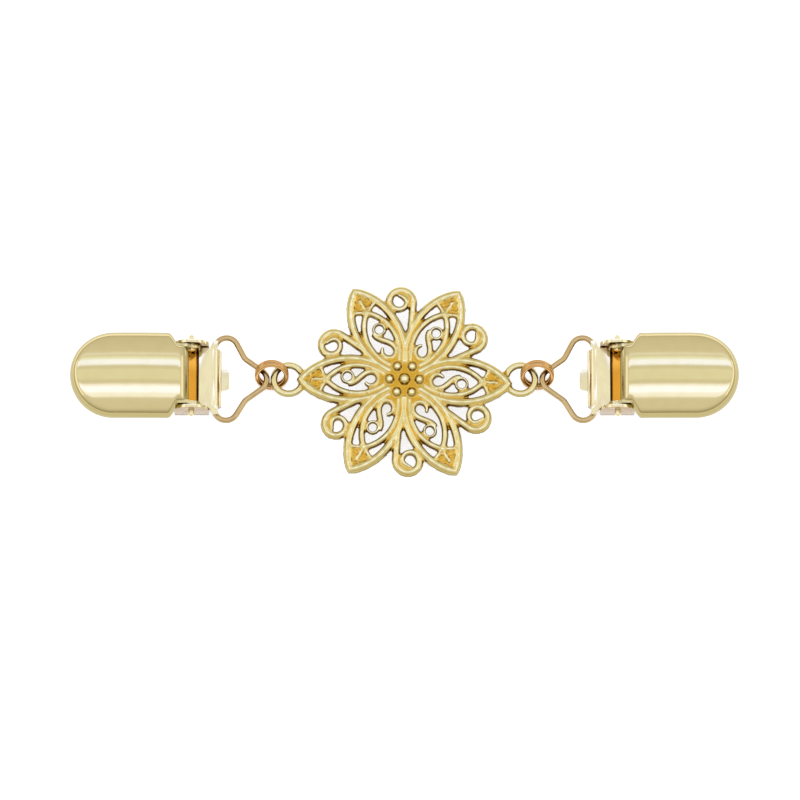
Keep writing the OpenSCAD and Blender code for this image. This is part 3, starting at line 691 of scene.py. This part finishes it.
# The jaw carries a painted reflection: jaw and front plate mirror each other under the neck, painted on the
# jaw as one short stretch of deep orange
jaw_gold = plated("pale_gold_jaw_painted_orange_reflection", "#F2E6BC", 0.16, "#CFA65A", 0.25)
# Painted orange reflection from just past the bar, then back to the plate's pale tone further out
jaw_gold = tinted(jaw_gold, bar_x + 0.2, bar_x + 1.2, "#EAA436")
jaw_gold = tinted(jaw_gold, bar_x + 6.5, bar_x + 8.5, "#F2E6BC")


def round_edges(piece, radius, angle):
    """Rounds each edge at which two faces meet at more than the angle"""
    bevel = piece.modifiers.new("edges", "BEVEL")
    bevel.width = radius
    bevel.segments = 3
    bevel.limit_method = "ANGLE"
    bevel.angle_limit = math.radians(angle)


def rounded_copy(node, name, radius):
    """A copy of a CAD node's mesh, welded and with its edges rounded"""
    mesh = frame["nodes"][node].data.copy()
    mesh.transform(Matrix.Scale(1 / METRE, 4))
    form = bmesh.new()
    form.from_mesh(mesh)
    bmesh.ops.remove_doubles(form, verts=form.verts, dist=0.001)
    bmesh.ops.dissolve_limit(form, angle_limit=math.radians(1), verts=form.verts, edges=form.edges)
    form.to_mesh(mesh)
    form.free()
    seed = placed(name, mesh)
    round_edges(seed, radius, 40)
    return smooth(settled(seed, name), 35)


for side in ("left", "right"):
    body = rounded_copy(side + "_clip_body", side + "_body", 0.12)
    mark_walls_for_painted_shade(body.data, 0.5, 0.2)
    fit(body, sheet_gold, side + "_clip", "sheet_gold", side + "_clip_body")
    jaw = rounded_copy(side + "_jaw_plate", side + "_jaw", 0.08)
    fit(jaw, jaw_gold, side + "_jaw", "sheet_gold", side + "_jaw_plate")
    for end in ("back", "front"):
        stud = rounded_copy(f"{side}_stud_{end}", f"{side}_pin_{end}", 0.05)
        fit(stud, sheet_gold, side + "_lever", "sheet_gold", f"{side}_stud_{end}")

# The cover levers
# Each cover is drawn from one sheet of steel into a smooth arch with rolled edges, a round end and a neck.
# Its two ears reach down from the neck to the studs and end in the cam that presses the jaw shut. It is
# polished to a mirror before it is plated in a pale champagne gold.

stud_x, _, stud_z = (v / METRE for v in next(
    j["pos_m"] for j in frame["joints"] if j["name"] == "right_lever_lift"))
cover_low, cover_high = (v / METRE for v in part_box("right_cover_lever"))
cover_half = (cover_high.y - cover_low.y) / 2
cover_end_x, cover_top = cover_high.x, cover_high.z
cover_rim, cover_sheet = 5.4, 0.7
cross_arch, long_arch = 18.0, 100.0
side_roll, end_roll, neck_roll = 1.6, 2.6, 2.0
neck_x, neck_half = stud_x + 0.5, 5.95
shoulder_start, shoulder_end = stud_x + 2.2, stud_x + 4.5
end_middle = cover_end_x - cover_half
cover_middle = (neck_x + cover_end_x) / 2
ear_eye, ear_length, ear_top = 1.7, 3.2, cover_top - 1.9
cam_drop, cam_length = 2.15, 1.5
ear_inset = 0.02  # keeps the ears' faces just inside the sheet's, so that no two lie in one plane


def skin_level(x, y, edge, drop):
    """Height of the outer skin, with how far it has rolled down at its edge and at the neck"""
    arch = cross_arch - math.sqrt(cross_arch ** 2 - y * y) + (x - cover_middle) ** 2 / (2 * long_arch)
    return cover_top - arch - (edge ** 3 + drop ** 3) ** (1 / 3)


def skin_columns():
    """Where each line of the skin starts: x, angle round the end or none, side, and drop at the neck"""
    lip = np.radians(np.linspace(90, 0, 10))
    straight = np.concatenate([
        neck_x + neck_roll * (1 - np.sin(lip)), np.linspace(neck_x + neck_roll, shoulder_end, 9)[1:],
        np.linspace(shoulder_end, end_middle, 14)[1:]])
    drops = np.concatenate([neck_roll * (1 - np.cos(lip)), np.zeros(len(straight) - len(lip))])
    near = [(x, None, -1, drop) for x, drop in zip(straight, drops)]
    end = [(end_middle, angle, 1, 0) for angle in np.radians(np.linspace(-90, 90, 49))[1:-1]]
    far = [(x, None, 1, drop) for x, drop in zip(straight[::-1], drops[::-1])]
    return near + end + far


def skin_line(x, angle, side, drop):
    """One line of the skin, from its ridge over the rolled edge down to its rim"""
    inner = np.linspace(0, cover_half - side_roll, 15)
    roll = np.radians(np.linspace(0, 90, 11))[1:]
    reach = np.concatenate([inner, cover_half - side_roll + side_roll * np.sin(roll)])
    depth = np.concatenate([0 * inner, 1 - np.cos(roll)])
    share = np.clip((x - shoulder_start) / (shoulder_end - shoulder_start), 0, 1)
    half = neck_half + (cover_half - neck_half) * share * share * (3 - 2 * share)
    line = []
    for far, deep in zip(reach, depth):
        if angle is not None:
            px, py = x + far * math.cos(angle), far * math.sin(angle)
            blend = side_roll + (end_roll - side_roll) * math.cos(angle) ** 2
            line.append((px, py, skin_level(px, py, blend * deep, 0)))
            continue
        if far <= cover_half - side_roll:
            y = side * far * (half - side_roll) / (cover_half - side_roll)
        else:
            y = side * (half - (cover_half - far))
        line.append((x, y, skin_level(x, y, side_roll * deep, drop)))
    x_out, y_out, z_out = line[-1]
    return line + [(x_out, y_out, min(z, z_out)) for z in np.linspace(z_out, cover_rim, 4)[1:]]


def cover_shell():
    """The cover as a thick sheet, whose lines follow each other from the neck round the end and back"""
    lines = [skin_line(*column) for column in skin_columns()]
    rows = len(lines[0])
    faces = [
        (k * rows + i, (k + 1) * rows + i, (k + 1) * rows + i + 1, k * rows + i + 1)
        for k in range(len(lines) - 1) for i in range(rows - 1)]
    mesh = bpy.data.meshes.new("cover_skin")
    mesh.from_pydata([(x, y + clip_y, z) for line in lines for x, y, z in line], [], faces)
    form = bmesh.new()
    form.from_mesh(mesh)
    bmesh.ops.remove_doubles(form, verts=form.verts, dist=0.002)
    bmesh.ops.recalc_face_normals(form, faces=form.faces)
    if sum(f.normal.z * f.calc_area() for f in form.faces) < 0:
        bmesh.ops.reverse_faces(form, faces=form.faces)
    form.to_mesh(mesh)
    form.free()
    seed = placed("cover_skin", mesh)
    wall = seed.modifiers.new("sheet", "SOLIDIFY")
    wall.thickness = cover_sheet
    wall.offset = -1
    wall.use_even_offset = True
    return settled(seed, "cover_skin")


def lever_ears():
    """The two ears with their hinge eyes and cams, as flat plates"""
    cam_z = stud_z - cam_drop
    outline = [tuple(p) for p in arc((stud_x, stud_z), ear_eye, 90, 180, 24)] + [
        (stud_x, cam_z), (stud_x + cam_length, cam_z), (stud_x + (cam_length + 0.1), stud_z - 0.8),
        (stud_x + ear_length, cover_rim + 0.1), (stud_x + ear_length, ear_top), (neck_x + 0.3, ear_top)]
    form = bmesh.new()
    for side in (-1, 1):
        outer = side * (neck_half - ear_inset)
        inner = side * (neck_half - cover_sheet + ear_inset)
        rings = [[form.verts.new((x, y + clip_y, z)) for x, z in outline] for y in (outer, inner)]
        form.faces.new(rings[0])
        form.faces.new(rings[1][::-1])
        for i in range(len(outline)):
            n = (i + 1) % len(outline)
            form.faces.new((rings[0][n], rings[0][i], rings[1][i], rings[1][n]))
    bmesh.ops.recalc_face_normals(form, faces=form.faces)
    mesh = bpy.data.meshes.new("lever_ears")
    form.to_mesh(mesh)
    form.free()
    return placed("lever_ears", mesh)


def cover_lever():
    """The cover and its ears as one piece with rounded edges"""
    cover, ears = cover_shell(), lever_ears()
    union = cover.modifiers.new("ears", "BOOLEAN")
    union.operation = "UNION"
    union.object = ears
    union.solver = "FAST"
    round_edges(cover, 0.1, 50)
    whole = settled(cover, "right_cover")
    bpy.data.objects.remove(ears)
    return smooth(whole, 35)


# The cover's rolled edges and rim wall get painted shade
cover_gold = paint_shade_on_walls(
    plated("champagne_gold_plated_cover", "#E7D69E", 0.1, "#DCC98A", 0.3), "#A99B66")
right = cover_lever()
mark_walls_for_painted_shade(right.data, 0.8, 0.6)
left = mirrored(right, "left_cover")
fit(right, cover_gold, "right_lever", "cover_gold", "right_cover_lever")
fit(left, cover_gold, "left_lever", "cover_gold", "left_cover_lever")

# The white table, the lights and the camera
# The clip lies on a white sheet under a white sky. Long softboxes to its far and near side draw the bright
# bands on the covers, and the camera leans a little to the near side, as it does in the photograph.

PHOTO_WIDTH = 800  # pixels of the photograph
PHOTO_SCALE = 0.1945  # millimetres of the object in one pixel of the photograph
TILT = 13.0  # degrees by which the camera leans from straight above towards the near side


def sky(strength):
    """A sky that is white overhead and a little darker and warmer towards the horizon"""
    world = bpy.data.worlds.new("studio")
    world.use_nodes = True
    tree = world.node_tree
    place = add(tree, "ShaderNodeTexCoord")
    split = add(tree, "ShaderNodeSeparateXYZ", {"Vector": place.outputs["Generated"]})
    ramp = add(tree, "ShaderNodeValToRGB", {"Fac": split.outputs["Z"]})
    ramp.color_ramp.elements[0].color = (0.75, 0.73, 0.69, 1)
    ramp.color_ramp.elements[1].color = (1.0, 1.0, 1.0, 1)
    ramp.color_ramp.elements[1].position = 0.8
    back = tree.nodes["Background"]
    tree.links.new(ramp.outputs["Color"], back.inputs["Color"])
    back.inputs["Strength"].default_value = strength
    bpy.context.scene.world = world


panel_distance, panel_length = 0.5, 0.6  # metres


def panel(name, start, end, glow, turn):
    """A softbox that fills the sky between two angles from straight above, towards +Y or turned round Z from
    there. Its glow is its red, green and blue radiance."""
    lean = (start + end) / 2
    width = 2 * panel_distance * math.tan(math.radians(end - start) / 2)
    light = bpy.data.lights.new(name, "AREA")
    light.shape = "RECTANGLE"
    light.size, light.size_y = panel_length, width
    light.color = np.array(glow) / max(glow)
    light.energy = max(glow) * math.pi * width * panel_length
    holder = placed(name, light)
    holder.matrix_world = (
        Matrix.Rotation(math.radians(turn), 4, "Z") @ Matrix.Rotation(math.radians(-lean), 4, "X")
        @ Matrix.Translation((0, 0, panel_distance)))
    holder.visible_camera = False


def table():
    """A white sheet that glows a little, as a lit table does, so that it stays white under the clip"""
    mesh = bpy.data.meshes.new("table")
    half = 3.0
    corners = [(-half, -half, 0), (half, -half, 0), (half, half, 0), (-half, half, 0)]
    mesh.from_pydata(corners, [], [(0, 1, 2, 3)])
    material, tree, surface = finish_tree("white_table")
    surface.inputs["Base Color"].default_value = (0.95, 0.95, 0.95, 1)
    surface.inputs["Roughness"].default_value = 0.9
    surface.inputs["Emission Color"].default_value = (1, 1, 1, 1)
    surface.inputs["Emission Strength"].default_value = 0.62
    mesh.materials.append(material)
    floor = placed("table", mesh)


def camera():
    """A long lens from far away, which shows the clip at the photograph's scale"""
    data = bpy.data.cameras.new("camera")
    holder = placed("camera", data)
    lean = math.radians(TILT)
    back = Vector((0, -math.sin(lean), math.cos(lean)))
    target = Vector((-0.875, -3.67, 3.0)) * METRE
    distance = 1.2
    data.sensor_width = 36
    data.lens = data.sensor_width * distance / (PHOTO_WIDTH * PHOTO_SCALE * METRE)
    holder.location = target + back * distance
    holder.rotation_mode = "QUATERNION"
    holder.rotation_quaternion = (-back).to_track_quat("-Z", "Y")
    data.clip_start, data.clip_end = 0.05, 20
    bpy.context.scene.camera = holder


sky(0.8)
table()
camera()
# Name, start and end angle, glow, turn
panels = [
    ("far_line", 34, 37.5, (0.16, 0.2, 0.4), 0),
    ("far_glow", 20.8, 32, (0.2, 0.32, 0.4), 0),
    ("far_core", 21, 28.5, (0.22, 0.28, 1.18), 0),
    ("middle_glow", 2, 16, (0.12, 0.16, 0.18), 0),
    ("near_glow", -20, -3, (0.4, 0.48, 0.96), 0),
    ("near_core", -14, -6, (0.1, 0.25, 0.85), 0),
    ("left_end", 42, 66, (0.45, 0.45, 0.5), 90),
    ("right_end", 42, 66, (0.45, 0.45, 0.5), -90),
]
for row in panels:
    panel(*row)
bpy.context.scene.view_settings.view_transform = "Standard"
